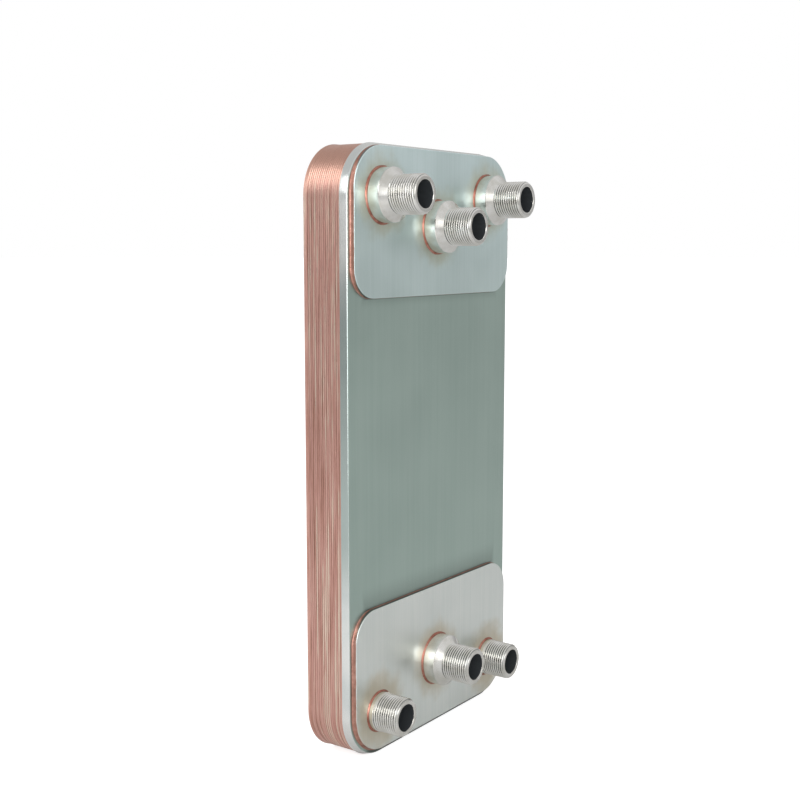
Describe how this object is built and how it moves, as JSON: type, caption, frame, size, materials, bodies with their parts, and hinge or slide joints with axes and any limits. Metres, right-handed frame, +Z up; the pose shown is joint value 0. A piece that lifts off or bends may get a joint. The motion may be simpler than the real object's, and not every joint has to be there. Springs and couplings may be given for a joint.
{
  "type": "brazed plate heat exchanger",
  "caption": "Tall brazed plate heat exchanger with a copper-brazed plate stack, a flanged steel cover and threaded stub connectors on its front.",
  "frame": {"origin": "middle of the bottom of the bounding box: the exchanger stands on its lower end", "axes": "+Z up the plates, the connectors face -Y, +X to the right seen from the front"},
  "size_m": [0.2536, 0.0912, 0.5258],
  "materials": {
    "stainless_plate": "satin rolled stainless sheet with a faint grain and brownish heat tint near the brazed joints",
    "stainless_connector": "bright machined stainless",
    "channel_plate": "thin stainless sheet wetted with copper braze",
    "copper_braze": "dull copper braze"
  },
  "bodies": {
    "root": {"front_cover_plate": "stainless_plate", "rear_cover_plate": "stainless_plate", "top_reinforcement_plate": "stainless_plate", "bottom_reinforcement_plate": "stainless_plate", "top_reinforcement_braze": "copper_braze", "bottom_reinforcement_braze": "copper_braze", "top_left_connector": "stainless_connector", "top_centre_connector": "stainless_connector", "top_right_connector": "stainless_connector", "bottom_left_connector": "stainless_connector", "bottom_centre_connector": "stainless_connector", "bottom_right_connector": "stainless_connector", "top_left_braze_ring": "copper_braze", "top_centre_braze_ring": "copper_braze", "top_right_braze_ring": "copper_braze", "bottom_left_braze_ring": "copper_braze", "bottom_centre_braze_ring": "copper_braze", "bottom_right_braze_ring": "copper_braze", "channel_plate_01": "channel_plate", "channel_plate_02": "channel_plate", "channel_plate_03": "channel_plate", "channel_plate_04": "channel_plate", "channel_plate_05": "channel_plate", "channel_plate_06": "channel_plate", "channel_plate_07": "channel_plate", "channel_plate_08": "channel_plate", "channel_plate_09": "channel_plate", "channel_plate_10": "channel_plate", "channel_plate_11": "channel_plate", "channel_plate_12": "channel_plate", "channel_plate_13": "channel_plate", "channel_plate_14": "channel_plate", "channel_plate_15": "channel_plate", "channel_plate_16": "channel_plate", "braze_seam_01": "copper_braze", "braze_seam_02": "copper_braze", "braze_seam_03": "copper_braze", "braze_seam_04": "copper_braze", "braze_seam_05": "copper_braze", "braze_seam_06": "copper_braze", "braze_seam_07": "copper_braze", "braze_seam_08": "copper_braze", "braze_seam_09": "copper_braze", "braze_seam_10": "copper_braze", "braze_seam_11": "copper_braze", "braze_seam_12": "copper_braze", "braze_seam_13": "copper_braze", "braze_seam_14": "copper_braze", "braze_seam_15": "copper_braze", "braze_seam_16": "copper_braze", "braze_seam_17": "copper_braze"}
  },
  "joints": []
}
